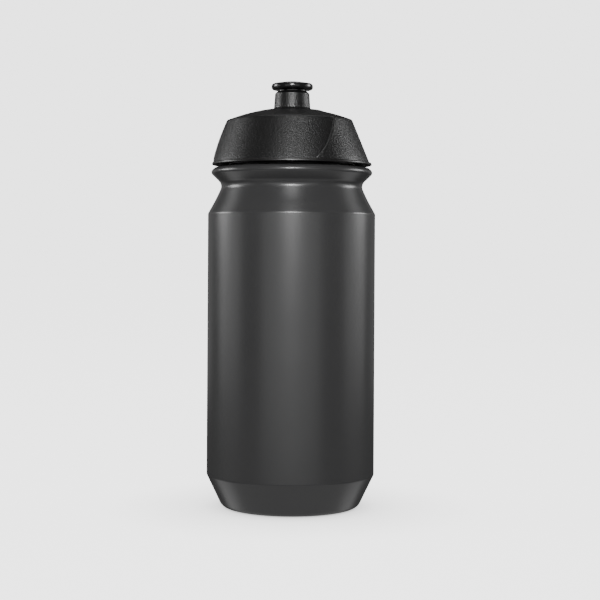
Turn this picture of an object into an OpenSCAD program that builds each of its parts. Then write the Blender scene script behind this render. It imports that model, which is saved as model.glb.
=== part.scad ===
// Sports squeeze bottle: a blow-moulded bottle with a cage groove, a screw lid with three
// swirled finger grips, and a push-pull drinking valve in the lid's spout.
// Origin at the centre of the base, Z up along the bottle's axis, -Y towards the front.

/* [Bottle] */
// Outer diameter of the straight barrel
body_d = 74; // [70:0.5:78]
// Height of the bevel between the base and the barrel
bevel_h = 14.5; // [10:0.5:22]
// Diameter at which the bevel meets the base
foot_d = 60; // [54:0.2:64]
// Length of the straight barrel
barrel_h = 114.7; // [60:0.1:160]
// Height of the shoulder cone from the barrel up to the cage groove
shoulder_h = 12.75; // [9:0.05:18]
// Diameter at the bottom of the cage groove, before rounding
groove_d = 61.3; // [58:0.1:64]
// Rounding in the cage groove
groove_round = 3; // [1.5:0.5:4]
// Height of the flare from the groove up to the collar
flare_h = 5.55; // [4:0.05:8]
// Diameter of the collar under the lid
collar_d = 72.2; // [68:0.2:73]
// Height of the collar's rounded nose
collar_h = 2.4; // [2:0.1:4]
// Inward slope of the collar's nose
collar_slope = 2; // [1.5:0.1:3]
// Wall thickness of the bottle
bottle_wall = 1.2; // [0.8:0.1:1.8]
// Height of the hollow under the base
punt_h = 2.5; // [1.5:0.1:4]
// Width of the flat ring that the bottle stands on, with its outer rounding
foot_ring_w = 5.6; // [5:0.1:8]
// Rounding between the base and the bevel
foot_round = 4; // [2:0.5:5]
// Rounding between the bevel and the barrel
bevel_round = 2; // [0.5:0.5:6]
// Rounding between the barrel and the shoulder
shoulder_round = 0.8; // [0.4:0.1:3]
// Rounding of the collar's edge
collar_round = 1.2; // [0.6:0.1:1.4]
// Rounding at the foot of the neck
neck_round = 0.5; // [0.3:0.1:1]
// Rounding round the hollow under the base
punt_round = 0.8; // [0.4:0.1:1.2]

/* [Neck] */
// Outer diameter of the neck at the middle of its thread
neck_d = 51.4; // [49:0.1:52]
// Height of the neck above the collar
neck_h = 15.1; // [13:0.1:16]
// Wall thickness of the neck
neck_wall = 1.8; // [1.4:0.1:2.4]

/* [Lid] */
// Diameter of the lid's rim
rim_d = 70; // [68:0.2:72]
// Height of the rim band under the finger grips
rim_h = 1.2; // [0.8:0.1:2]
// Width of the ledge between the rim and the middle of a grip
rim_ledge = 0.6; // [0.4:0.05:1.2]
// Width of the ledge where the edges of a grip reach it
rim_step = 0.15; // [0.1:0.05:0.3]
// Gap between the lid's rim and the bottle's collar
lid_gap = 1.3; // [0.8:0.1:2]
// Diameter of the lid at the top of its flank, across the middle of the grips
lid_top_d = 53; // [51:0.2:56]
// Height of the lid's flank
flank_h = 18.3; // [17.5:0.1:22]
// Wall thickness of the lid
lid_wall = 2; // [1.5:0.1:2.4]
// Wall thickness of the lid's threaded inner skirt
skirt_wall = 1.8; // [1.2:0.1:2.2]
// Radius of the lid's domed top
dome_round = 84; // [70:1:110]

/* [Grips] */
// Number of swirled grips round the lid
grip_count = 3; // [3:1:4]
// Sideways shift of each grip's cone from the axis
grip_shift = 4; // [3:0.1:4.5]
// Lean of each grip's cone
grip_lean = 9.5; // [8:0.1:12]
// Turn of each grip that raises one of its edges
grip_turn = 11; // [9:0.5:13]
// Direction of the first swirl line, from +X
swirl_dir = -61; // [-90:1:30]
// Radius of the swirl line in side view
swirl_round = 50; // [44:1:60]
// Lean of the swirl line half way up the flank
swirl_lean = 33; // [20:1:36]
// Sideways shift of each grip's part of the dome
dome_shift = 3; // [2:0.1:4]

/* [Spout] */
// Height of the spout above the dome
spout_h = 7.1; // [6:0.1:9]
// Diameter of the spout where it leaves the dome
spout_base_d = 16.2; // [15.4:0.1:18]
// Diameter of the spout under its top chamfer
spout_top_d = 15.2; // [14.8:0.1:16]
// Chamfer round the spout's top
spout_chamfer = 0.75; // [0.4:0.05:1]
// Bore of the spout, in which the valve slides
spout_bore_d = 11.8; // [11.6:0.1:12.2]
// Length of the bore from the stem's ledge to the spout's top
spout_bore_h = 11.5; // [11:0.1:12]
// Height of the inward stop at the spout's top
stop_h = 1.6; // [1:0.1:2]
// Inward width of the stop
stop_w = 0.55; // [0.4:0.05:0.6]

/* [Valve] */
// Travel of the valve from closed to open
valve_travel = 6; // [4:0.1:6.6]
// Gap between the closed valve and the stem's ledge
slider_gap = 0.6; // [0.3:0.1:1]
// Diameter of the sliding shaft
shaft_d = 10; // [9.4:0.1:10]
// Bore of the sliding shaft
shaft_bore_d = 6.8; // [6.4:0.1:7.4]
// Diameter of the sealing pin
pin_d = 4.7; // [4:0.1:5]
// Height of the stem's ring and spokes
stem_ring_h = 2.4; // [1.8:0.1:3]
// Outer diameter of the stem's ring
stem_ring_d = 15; // [14.6:0.1:16]
// Wall of the stem's ring
stem_ring_wall = 1.6; // [1.2:0.1:1.6]
// Number of spokes that carry the pin
spoke_count = 3; // [3:1:5]
// Width of a spoke
spoke_w = 1.6; // [1:0.1:2]
// Section diameter of the valve's sealing ring
seal_d = 1.1; // [0.9:0.05:1.2]

/* [Bite tip] */
// Diameter of the lip
lip_d = 18.4; // [16:0.1:20]
// Thickness of the lip
lip_h = 2.7; // [2.2:0.1:3.4]
// Rounding of the lip's edge
lip_round = 1.2; // [0.6:0.1:1.2]
// Rise of the lip's crown above its edge
crown_h = 0.9; // [0.4:0.1:1.6]
// Diameter of the collar under the lip
tip_collar_d = 12.8; // [12:0.1:13.4]
// Height of the collar under the lip
tip_collar_h = 0.8; // [0.6:0.1:2]
// Rounding round the collar under the lip
tip_collar_round = 0.2; // [0.1:0.05:0.25]
// Thickness of the tip's roof beside the outlet
tip_roof = 1.6; // [1.2:0.1:2]

/* [Gasket] */
// Thickness of the lid's gasket
gasket_h = 1.5; // [1:0.1:2]
// Wall of the ring that keeps the gasket in the lid
keeper_wall = 1.1; // [0.8:0.1:1.6]

/* [Fits] */
// Clearance between turning or screwed round faces
screw_clear = 0.3; // [0.2:0.05:0.4]
// Clearance round the sliding valve's seal and its sealing pin
seal_clear = 0.15; // [0.1:0.01:0.2]
// Gap between flat faces that close on each other in use
face_gap = 0.1; // [0.05:0.01:0.2]
// Clearance round pieces that are pushed into a seat
seat_clear = 0.05; // [0.02:0.01:0.1]

/* [Hidden] */
$fn = 96;
arc_steps = 6;
least_round = 0.2;
past = 1;

// Heights along the bottle
barrel_z = bevel_h;
shoulder_z = barrel_z + barrel_h;
groove_z = shoulder_z + shoulder_h;
collar_z = groove_z + flare_h;
neck_z = collar_z + collar_h;
neck_top_z = neck_z + neck_h;
neck_r = neck_d / 2;
neck_bore_r = neck_r - neck_wall;

// Heights along the lid
rim_z = neck_z + lid_gap;
flank_z = rim_z + rim_h;
flank_top_z = flank_z + flank_h;
ceiling_z = neck_top_z + gasket_h;

// Flank through the middle of a grip
flank_low_r = rim_d / 2 - rim_ledge;
flank_top_r = lid_top_d / 2;
flank_angle = atan((flank_low_r - flank_top_r) / flank_h);
flank_wall_r = lid_wall / cos(flank_angle);

// Cone of a grip, about its own leaning axis
grip_angle = flank_angle - grip_lean;
grip_r = (flank_low_r + grip_shift) * (cos(grip_lean) - tan(grip_angle) * sin(grip_lean));
grip_below = 20;
grip_above = 60;
grip_step = 360 / grip_count;

// Dome, its crown and the hollow under it
dome_z = flank_top_z - sqrt(pow(dome_round, 2) - pow(flank_top_r + dome_shift, 2));
crown_z = dome_z + dome_round;
dome_sink = dome_shift * flank_top_r / dome_round;
hollow_round = dome_round - lid_wall - dome_sink;

// Inside of the lid
lid_bore_r = neck_r + screw_clear;
skirt_r = lid_bore_r + skirt_wall;
void_top_z = flank_z + (flank_low_r - skirt_r - flank_wall_r) / tan(flank_angle);
gasket_r = neck_r;
gasket_in_r = neck_bore_r - screw_clear;
keeper_r = gasket_in_r - screw_clear;
keeper_in_r = keeper_r - keeper_wall;
keeper_z = neck_top_z - screw_clear;

// Spout and the stem's socket
spout_top_z = crown_z + spout_h;
spout_bore_r = spout_bore_d / 2;
ledge_z = spout_top_z - spout_bore_h;
stop_z = spout_top_z - stop_h;
stop_r = spout_bore_r - stop_w;
stem_r = stem_ring_d / 2;
stem_z = ledge_z - stem_ring_h;
socket_r = stem_r + seat_clear;
boss_r = socket_r + lid_wall;
boss_z = stem_z - lid_wall / 2;

// Valve
slider_z = ledge_z + slider_gap;
shaft_r = shaft_d / 2;
shaft_bore_r = shaft_bore_d / 2;
flange_r = spout_bore_r - screw_clear;
flange_h = stop_z - slider_z - valve_travel - face_gap;
pin_r = pin_d / 2;
outlet_r = pin_r + seal_clear;
seal_ring_r = spout_bore_r - seal_clear - seal_d / 2;
seal_z = slider_z + flange_h / 2;
seal_groove_h = seal_d + 2 * seal_clear;
seal_groove_r = seal_ring_r - seal_d / 2 - seat_clear;

// Bite tip
tip_z = spout_top_z + face_gap;
lip_z = tip_z + tip_collar_h;
lip_top_z = lip_z + lip_h;
tip_top_z = lip_top_z + crown_h;
shaft_top_z = lip_top_z - tip_roof;
pin_top_z = lip_top_z + crown_h / 2;
lip_r = lip_d / 2;

function unit(v) = v / norm(v);
function left_of(v) = [-v[1], v[0]];
function point(corner) = [corner[0], corner[1]];
function turn(a, b, c) = (b - a)[0] * (c - b)[1] - (b - a)[1] * (c - b)[0];

// A corner b between a and c, rounded to a radius by an arc
function rounded(a, b, c, radius) =
    let (
        u = unit(a - b),
        w = unit(c - b),
        half = acos(u * w) / 2,
        centre = b + unit(u + w) * radius / sin(half),
        start = b + u * radius / tan(half) - centre,
        sweep = sign(turn(a, b, c)) * (180 - 2 * half)
    )
    [for (i = [0:arc_steps])
        let (t = sweep * i / arc_steps)
        centre + [start[0] * cos(t) - start[1] * sin(t), start[0] * sin(t) + start[1] * cos(t)]];

// A path through corners [r, z, rounding], with its ends left sharp
function smooth_path(corners) =
    let (last = len(corners) - 1)
    [for (i = [0:last])
        let (b = point(corners[i]), radius = corners[i][2])
        each (i == 0 || i == last || radius == 0)
            ? [b]
            : rounded(point(corners[i - 1]), b, point(corners[i + 1]), radius)];

// The inner corner of a wall, and the rounding that keeps the wall even
function wall_corner(corners, i, wall) =
    let (
        a = point(corners[i - 1]),
        b = point(corners[i]),
        c = point(corners[i + 1]),
        u = unit(b - a),
        w = unit(c - b),
        inner = b + wall * (left_of(u) + left_of(w)) / (1 + u * w),
        radius = corners[i][2],
        inner_radius = turn(a, b, c) > 0 ? max(radius - wall, least_round) : radius + wall
    )
    [inner[0], inner[1], inner_radius];

// Outer corners of the bottle from the middle of its base to the foot of the neck
bottle_corners = [
    [0, punt_h, 0],
    [foot_d / 2 - foot_ring_w - punt_h, punt_h, punt_round],
    [foot_d / 2 - foot_ring_w, 0, punt_round],
    [foot_d / 2, 0, foot_round],
    [body_d / 2, barrel_z, bevel_round],
    [body_d / 2, shoulder_z, shoulder_round],
    [groove_d / 2, groove_z, groove_round],
    [collar_d / 2, collar_z, collar_round],
    [collar_d / 2 - collar_slope, neck_z, collar_round],
    [neck_r, neck_z, neck_round]
];

// One moulded wall: the outer corners, the neck's rim, and the same corners moved inwards
module bottle_section() {
    last = len(bottle_corners) - 1;
    outer = concat(bottle_corners, [[neck_r, neck_top_z, 0]]);
    inner = concat(
        [[0, punt_h + bottle_wall, 0]],
        [for (i = [1:last - 1]) wall_corner(bottle_corners, i, bottle_wall)],
        [[neck_bore_r, neck_z - bottle_wall, neck_round + bottle_wall], [neck_bore_r, neck_top_z, 0]]
    );
    inner_path = smooth_path(inner);
    inner_last = len(inner_path) - 1;
    polygon(concat(smooth_path(outer), [for (i = [0:inner_last]) inner_path[inner_last - i]]));
}

module bottle_body() {
    color([0.29, 0.29, 0.3])
    rotate_extrude()
        bottle_section();
}

// A ball whose poles lie level, clear of the dome's crown
module level_ball(radius) {
    rotate([90, 0, 180])
        sphere(r = radius);
}

// Full form of one grip: its leaning cone under its own part of the dome
module grip_form() {
    intersection() {
        translate([-grip_shift, 0, flank_z])
            rotate([0, grip_lean, 180])
                translate([0, 0, -grip_below])
                    cylinder(
                        r1 = grip_r + grip_below * tan(grip_angle),
                        r2 = grip_r - grip_above * tan(grip_angle),
                        h = grip_below + grip_above
                    );
        translate([-dome_shift, 0, dome_z])
            level_ball(dome_round);
    }
}

// Space before one swirl line, over the whole height of the flank and the dome
module swirl_side() {
    reach = rim_d / 2 + past;
    intersection() {
        translate([
            -reach,
            -swirl_round * cos(swirl_lean),
            flank_z + flank_h / 2 + swirl_round * sin(swirl_lean)
        ])
            rotate([0, 90, 0])
                cylinder(r = swirl_round, h = 2 * reach);
        translate([-reach, -2 * reach, flank_z - past])
            cube([2 * reach, 4 * reach, crown_z - flank_z + 3 * past]);
    }
}

// Flank and dome: a round blank that each grip's form cuts back up to its swirl line
module grips() {
    difference() {
        translate([0, 0, flank_z])
            cylinder(r = rim_d / 2 - rim_step, h = crown_z - flank_z + past);
        for (i = [0:grip_count - 1])
            rotate([0, 0, swirl_dir + i * grip_step])
                difference() {
                    swirl_side();
                    rotate([0, 0, grip_turn - grip_step / 2])
                        grip_form();
                }
    }
}

// Outside of the lid below the spout
module lid_outside() {
    translate([0, 0, rim_z])
        cylinder(d = rim_d, h = rim_h);
    grips();
}

// Tapered tube of the spout, down into the dome
module spout_outside() {
    spout_base_r = spout_base_d / 2;
    spout_top_r = spout_top_d / 2;
    chamfer_z = spout_top_z - spout_chamfer;
    rotate_extrude()
        polygon([
            [0, boss_z],
            [boss_r, boss_z],
            [boss_r, crown_z - 2 * lid_wall],
            [spout_base_r, crown_z - lid_wall],
            [spout_base_r, crown_z - lid_wall / 2],
            [spout_top_r, chamfer_z],
            [spout_top_r - spout_chamfer, spout_top_z],
            [0, spout_top_z]
        ]);
}

// Bore for the valve, with the stop at its top and the stem's socket at its foot
module valve_bore() {
    rotate_extrude()
        polygon([
            [0, boss_z - past],
            [socket_r, boss_z - past],
            [socket_r, ledge_z],
            [spout_bore_r, ledge_z],
            [spout_bore_r, stop_z],
            [stop_r, stop_z],
            [stop_r, spout_top_z + past],
            [0, spout_top_z + past]
        ]);
}

// Threaded bore, the hollow inside the gasket keeper, and the dome's hollow above it
module lid_hollow() {
    translate([0, 0, rim_z - past])
        cylinder(r = lid_bore_r, h = keeper_z - rim_z + past);
    translate([0, 0, keeper_z - past])
        difference() {
            cylinder(r = lid_bore_r, h = ceiling_z - keeper_z + past);
            translate([0, 0, past])
                cylinder(r = keeper_r, h = ceiling_z);
        }
    intersection() {
        translate([0, 0, keeper_z - past])
            cylinder(r = keeper_in_r, h = crown_z - keeper_z);
        translate([0, 0, dome_z])
            level_ball(hollow_round);
    }
}

// Ring-shaped hollow between the inner skirt and the flank, open below
module skirt_void() {
    flank_in_r = flank_low_r + rim_h * tan(flank_angle) - flank_wall_r;
    rotate_extrude()
        polygon([
            [skirt_r, rim_z - past],
            [flank_in_r, rim_z - past],
            [flank_in_r, rim_z],
            [skirt_r, void_top_z]
        ]);
}

module screw_lid() {
    color([0.07, 0.07, 0.07])
    difference() {
        union() {
            difference() {
                lid_outside();
                lid_hollow();
                skirt_void();
            }
            spout_outside();
        }
        valve_bore();
    }
}

module lid_gasket() {
    color([0.55, 0.55, 0.55])
    translate([0, 0, neck_top_z])
        difference() {
            cylinder(r = gasket_r, h = gasket_h);
            translate([0, 0, -past])
                cylinder(r = gasket_in_r, h = gasket_h + 2 * past);
        }
}

// Pin that plugs the outlet, carried by spokes in a ring
module sealing_stem() {
    ring_in_r = stem_r - stem_ring_wall;
    hub_r = pin_r + spoke_w / 2;
    pin_chamfer = pin_r / 4;
    color([0.1, 0.1, 0.1])
    union() {
        translate([0, 0, stem_z])
            difference() {
                cylinder(r = stem_r, h = stem_ring_h);
                translate([0, 0, -past])
                    cylinder(r = ring_in_r, h = stem_ring_h + 2 * past);
            }
        for (i = [0:spoke_count - 1])
            rotate([0, 0, i * 360 / spoke_count])
                translate([0, -spoke_w / 2, stem_z])
                    cube([ring_in_r + stem_ring_wall / 2, spoke_w, stem_ring_h]);
        rotate_extrude()
            polygon([
                [0, stem_z],
                [hub_r, stem_z],
                [hub_r, ledge_z],
                [pin_r, ledge_z + hub_r - pin_r],
                [pin_r, pin_top_z - pin_chamfer],
                [pin_r - pin_chamfer, pin_top_z],
                [0, pin_top_z]
            ]);
    }
}

// Sliding tube with the seal's groove in its flange
module valve_slider() {
    color([0.06, 0.06, 0.06])
    rotate_extrude()
        polygon([
            [shaft_bore_r, slider_z],
            [flange_r, slider_z],
            [flange_r, seal_z - seal_groove_h / 2],
            [seal_groove_r, seal_z - seal_groove_h / 2],
            [seal_groove_r, seal_z + seal_groove_h / 2],
            [flange_r, seal_z + seal_groove_h / 2],
            [flange_r, slider_z + flange_h],
            [shaft_r, slider_z + flange_h],
            [shaft_r, shaft_top_z],
            [shaft_bore_r, shaft_top_z]
        ]);
}

module slider_seal() {
    color([0.5, 0.5, 0.5])
    translate([0, 0, seal_z])
        rotate_extrude()
            translate([seal_ring_r, 0])
                circle(d = seal_d);
}

// Soft mouthpiece on the slider's top, with the outlet in its roof
module bite_tip() {
    tip_bore_r = shaft_r + seat_clear;
    tip_bore_z = shaft_top_z + seat_clear;
    mouth = [
        [tip_bore_r, tip_z, 0],
        [tip_collar_d / 2, tip_z, tip_collar_round],
        [tip_collar_d / 2, lip_z, tip_collar_round],
        [lip_r, lip_z, lip_round],
        [lip_r, lip_top_z, lip_round],
        [outlet_r + crown_h, tip_top_z, crown_h],
        [outlet_r, lip_top_z, 0],
        [outlet_r, tip_bore_z, 0],
        [tip_bore_r, tip_bore_z, 0]
    ];
    color([0.03, 0.03, 0.03])
    rotate_extrude()
        polygon(smooth_path(mouth));
}

bottle_body();
screw_lid();
lid_gasket();
sealing_stem();
valve_slider();
slider_seal();
bite_tip();
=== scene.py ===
"""Looks of a sports squeeze bottle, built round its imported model: a satin bottle, a grained lid with
three swirled finger grips, and a push-pull valve with a glossy bite tip. Units are metres."""

import math

import bpy
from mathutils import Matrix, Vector


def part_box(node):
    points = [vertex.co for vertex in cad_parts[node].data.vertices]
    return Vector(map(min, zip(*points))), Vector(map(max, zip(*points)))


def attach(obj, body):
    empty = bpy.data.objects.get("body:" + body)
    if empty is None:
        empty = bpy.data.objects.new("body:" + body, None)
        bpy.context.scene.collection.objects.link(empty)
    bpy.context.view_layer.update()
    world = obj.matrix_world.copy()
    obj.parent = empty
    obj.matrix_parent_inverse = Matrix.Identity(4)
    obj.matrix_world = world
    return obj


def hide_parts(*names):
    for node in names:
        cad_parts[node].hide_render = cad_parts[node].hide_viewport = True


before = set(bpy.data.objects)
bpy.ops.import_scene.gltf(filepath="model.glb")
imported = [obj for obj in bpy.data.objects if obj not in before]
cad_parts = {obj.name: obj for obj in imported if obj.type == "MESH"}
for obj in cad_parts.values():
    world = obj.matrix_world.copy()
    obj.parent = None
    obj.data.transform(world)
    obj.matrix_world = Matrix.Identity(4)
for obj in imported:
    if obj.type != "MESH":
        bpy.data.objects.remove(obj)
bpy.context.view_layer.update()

bl_info = {
    "name": "Squeeze Bottle Looks",
    "version": (1, 0, 0),
    "blender": (4, 5, 0),
    "location": "View3D > Sidebar > Bottle",
    "description": "Builds the visible pieces of a sports squeeze bottle and its studio",
    "category": "Object",
}

TAU = 2 * math.pi
BOTTLE_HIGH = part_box("bottle_body")[1]
LID_LOW, LID_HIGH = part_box("screw_lid")
GASKET_LOW, GASKET_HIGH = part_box("lid_gasket")
STEM_LOW, STEM_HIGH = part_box("sealing_stem")
SLIDER_LOW, SLIDER_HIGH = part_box("valve_slider")
SEAL_LOW, SEAL_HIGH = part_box("slider_seal")
TIP_LOW, TIP_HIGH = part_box("bite_tip")
# How far the rim of the dressed lid reaches past the plain model's
RIM_REACH = 0.0004
# Gap between pieces that are pressed together
PRESS_FIT = 0.00005

# Sizes and colours that a user would change


def length(name, description, default):
    """A size in metres."""
    return bpy.props.FloatProperty(
        name=name, description=description, default=default, min=0.0, precision=5, unit="LENGTH"
    )


def angle(name, description, degrees):
    """A direction or a turn, kept in radians."""
    return bpy.props.FloatProperty(
        name=name, description=description, default=math.radians(degrees), subtype="ANGLE", unit="ROTATION"
    )


def colour(name, description, default):
    """A scene-linear colour."""
    return bpy.props.FloatVectorProperty(
        name=name, description=description, default=default, size=3, min=0.0, max=1.0, subtype="COLOR"
    )


class BottleSizes(bpy.types.PropertyGroup):
    """Outline of the blow-moulded bottle."""

    barrel_radius: length("Barrel radius", "Outside of the straight barrel", BOTTLE_HIGH.x)
    barrel_z: length("Barrel foot", "Height at which the bevel meets the barrel", 0.0145)
    foot_radius: length("Foot radius", "Where the bevel meets the base", 0.030)
    foot_ring: length("Foot ring", "Width of the ring that the bottle stands on", 0.0056)
    punt_height: length("Punt height", "Depth of the hollow under the base", 0.0025)
    punt_round: length("Punt rounding", "Rounding round the hollow under the base", 0.0008)
    foot_round: length("Foot rounding", "Rounding between the base and the bevel", 0.004)
    bevel_round: length("Bevel rounding", "Rounding between the bevel and the barrel", 0.002)
    shoulder_z: length("Shoulder height", "Height of the crease at the barrel's top", 0.1292)
    shoulder_round: length("Shoulder rounding", "Rounding of the crease at the barrel's top", 0.0018)
    shoulder_bow: length("Shoulder bow", "Depth of the shoulder's hollow curve", 0.0003)
    shoulder_curve: length("Shoulder curve", "Radius of the shoulder's hollow curve", 0.06)
    groove_z: length("Groove height", "Height of the cage groove", 0.14195)
    groove_radius: length("Groove radius", "Radius at the bottom of the cage groove", 0.03055)
    groove_round: length("Groove rounding", "Rounding in the cage groove", 0.0034)
    collar_z: length("Collar height", "Height of the collar's widest point", 0.1475)
    collar_radius: length("Collar radius", "Radius of the collar under the lid", 0.0363)
    collar_slope: length("Collar slope", "Inward slope of the collar's nose", 0.0022)
    collar_round: length("Collar rounding", "Rounding of the collar's nose", 0.0015)
    collar_edge: length("Collar edge", "Rounding of the collar's upper edge", 0.0006)
    neck_z: length("Neck foot", "Height of the flat that the neck rises from", 0.1494)
    neck_radius: length("Neck radius", "Root of the neck between its threads", 0.02515)
    neck_round: length("Neck rounding", "Rounding at the foot of the neck", 0.0008)
    neck_bore: length("Neck bore", "Inner radius of the neck", 0.0239)
    wall: length("Wall", "Thickness of the moulded wall", 0.0012)


class LidSizes(bpy.types.PropertyGroup):
    """Outside of the grained lid, and the hollows inside it."""

    rim_radius: length("Rim radius", "Radius of the lid's rim", LID_HIGH.x + RIM_REACH)
    rim_height: length("Rim height", "Height of the band under the grips", 0.0012)
    rim_drop: length("Rim drop", "How far the rim hangs below the plain model's", 0.0005)
    rim_round: length("Rim rounding", "Rounding of the rim's upper edge", 0.0006)
    rim_lean: length("Rim lean", "How far the rim's face leans in at its top", 0.0002)
    rim_step: length("Rim step", "Ledge on the rim where the edges of a grip reach it", 0.0005)
    flank_height: length("Flank height", "Height of the finger grips", 0.0188)
    flank_low: length("Flank foot", "Radius at the foot of a grip's middle", 0.0344)
    flank_top: length("Flank top", "Radius at the top of a grip's middle", 0.0265)
    edge_round: length("Edge rounding", "Rounding between the grips and the dome", 0.0011)
    grips: bpy.props.IntProperty(name="Grips", description="Swirled grips round the lid", default=3, min=3)
    grip_shift: length("Grip shift", "Shift of a grip's cone from the axis", 0.004)
    grip_lean: angle("Grip lean", "Lean of a grip's cone", 9.5)
    grip_turn: angle("Grip turn", "Turn that raises one edge of a grip", 11)
    swirl_direction: angle("Swirl direction", "Direction of the first swirl line", -61)
    swirl_round: length("Swirl radius", "Radius of a swirl line in side view", 0.05)
    swirl_lean: angle("Swirl lean", "Lean of a swirl line half way up", 33)
    dome_round: length("Dome radius", "Radius of the domed top", 0.084)
    dome_shift: length("Dome shift", "Shift of a grip's part of the dome", 0.003)
    spout_base: length("Spout foot", "Radius of the spout where it leaves the dome", 0.0081)
    spout_top: length("Spout top", "Radius of the spout under its chamfer", 0.0076)
    spout_chamfer: length("Spout chamfer", "Chamfer round the spout's top", 0.00075)
    spout_round: length("Spout rounding", "Rounding between the spout and the dome", 0.0007)
    spout_bore: length("Spout bore", "Radius of the bore that the valve slides in", 0.0059)
    stop_radius: length("Stop radius", "Radius of the stop at the spout's top", 0.00535)
    stop_height: length("Stop height", "Height of the stop at the spout's top", 0.0016)
    thread_root: length("Thread root", "Radius of the bore between its threads", 0.02655)
    skirt_radius: length("Skirt radius", "Outside of the threaded skirt", 0.0278)
    void_round: length("Void rounding", "Rounding at the top of the void round the skirt", 0.0006)
    keeper_inner: length("Keeper inside", "Inner radius of the lip that keeps the gasket", 0.0222)
    keeper_outer: length("Keeper outside", "Outer radius of the lip that keeps the gasket", 0.0233)
    keeper_drop: length("Keeper drop", "How far the keeper reaches below the gasket", 0.0003)
    wall: length("Wall", "Thickness of the lid's wall", 0.002)


class ThreadSizes(bpy.types.PropertyGroup):
    """Screw thread between the neck and the lid."""

    pitch: length("Pitch", "Rise of the thread in one turn", 0.004)
    turns: bpy.props.FloatProperty(name="Turns", description="Length of the thread in turns", default=1.9)
    height: length("Ridge height", "Height of the thread's ridge", 0.0011)
    base: length("Ridge base", "Width of the ridge at its root", 0.0019)
    crest: length("Ridge crest", "Width of the ridge at its crest", 0.001)
    start_z: length("Start height", "Height at which the neck's thread starts", 0.1535)
    play: length("Play", "How far the lid's ridge lies above the middle of the gap", 0.0002)


class ValveSizes(bpy.types.PropertyGroup):
    """Push-pull valve, its seals and the lid's gasket."""

    shaft_radius: length("Shaft radius", "Radius of the sliding shaft", 0.005)
    shaft_bore: length("Shaft bore", "Radius of the shaft's bore", 0.0034)
    shaft_edge: length("Shaft edge", "Rounding of the shaft's edges", 0.00015)
    pin_radius: length("Pin radius", "Radius of the sealing pin", 0.00235)
    pin_round: length("Pin rounding", "Rounding of the sealing pin's top", 0.0005)
    pin_fillet: length("Pin fillet", "Rounding where the pin leaves its hub", 0.0006)
    spoke_width: length("Spoke width", "Width of the spokes that carry the pin", 0.0016)
    spokes: bpy.props.IntProperty(name="Spokes", description="Spokes that carry the pin", default=3, min=3)
    stem_wall: length("Stem ring wall", "Wall of the stem's ring", 0.0016)
    stem_height: length("Stem ring height", "Height of the stem's ring", 0.0024)
    collar_radius: length("Tip collar radius", "Radius under the bite tip's lip", 0.0064)
    collar_height: length("Tip collar height", "Height of the collar under the lip", 0.0008)
    lip_height: length("Lip height", "Thickness of the bite tip's lip", 0.0027)
    lip_round: length("Lip rounding", "Rounding of the lip's edge", 0.0012)
    crown_height: length("Crown height", "Height of the rounded crown on the lip", 0.0009)
    outlet_radius: length("Outlet radius", "Radius of the drinking outlet", 0.0025)
    groove_play: length("Groove play", "Room above and below the seal in its groove", 0.00015)
    gasket_bore: length("Gasket bore", "Inner radius of the lid's gasket", 0.0236)
    gasket_round: length("Gasket rounding", "Rounding of the gasket's edges", 0.00025)


class FinishColours(bpy.types.PropertyGroup):
    """Colours of the plastics and rubbers."""

    bottle: colour("Bottle", "Smoke-grey bottle", (0.030, 0.030, 0.0305))
    lid: colour("Lid", "Grained black lid", (0.0045, 0.0045, 0.0045))
    valve: colour("Valve", "Sliding shaft and stem", (0.020, 0.020, 0.021))
    tip: colour("Bite tip", "Glossy bite tip", (0.008, 0.008, 0.008))
    seal: colour("Seals", "Gasket and valve seal", (0.26, 0.26, 0.265))


class StudioSizes(bpy.types.PropertyGroup):
    """Camera, floor and surroundings."""

    camera_distance: length("Camera distance", "From the bottle's axis to the lens", 0.66)
    camera_height: length("Camera height", "Height of the level line of sight", 0.1115)
    camera_roll: angle("Camera roll", "Lean of the picture", -0.32)
    lens: bpy.props.FloatProperty(
        name="Lens", description="Focal length on a 36 mm sensor", default=89.4, unit="CAMERA"
    )
    shift_x: bpy.props.FloatProperty(name="Shift X", description="Framing across", default=0.0144)
    shift_y: bpy.props.FloatProperty(name="Shift Y", description="Framing in height", default=-0.0767)
    floor_size: length("Floor size", "Side of the pale floor", 12.0)
    floor_glow: bpy.props.FloatProperty(
        name="Floor glow", description="Light through the floor", default=3.0
    )
    shade: bpy.props.FloatProperty(name="Shade", description="Level of the dim surroundings", default=0.07)


# Outlines and meshes

# Steps of a rounded corner, and the least rounding inside a wall as a share of the wall
ARC_STEPS = 6
LEAST_ROUND = 1 / 6
# Radius under which a point of an outline lies on the axis
ON_AXIS = 1e-7
# Angle from which an edge is shaded sharp
SHARP_ANGLE = math.radians(38)
# Faces round a turned piece
BOTTLE_SEGMENTS = 192
SMALL_SEGMENTS = 96
# Roundings of moulded edges, from the sharpest to the softest
EDGE_SHARP = 0.0001
EDGE_CRISP = 0.0002
EDGE_SMALL = 0.0003
EDGE_SOFT = 0.0004


def round_corner(before, corner, after, radius):
    """Points of an arc that rounds a corner of an outline."""
    to_before = (before - corner).normalized()
    to_after = (after - corner).normalized()
    half = to_before.angle(to_after) / 2
    centre = corner + (to_before + to_after).normalized() * radius / math.sin(half)
    arm = corner + to_before * radius / math.tan(half) - centre
    turn = to_before.x * to_after.y - to_before.y * to_after.x
    sweep = math.copysign(math.pi - 2 * half, -turn)
    points = []
    for step in range(ARC_STEPS + 1):
        t = sweep * step / ARC_STEPS
        x = arm.x * math.cos(t) - arm.y * math.sin(t)
        y = arm.x * math.sin(t) + arm.y * math.cos(t)
        points.append(centre + Vector((x, y)))
    return points


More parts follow.
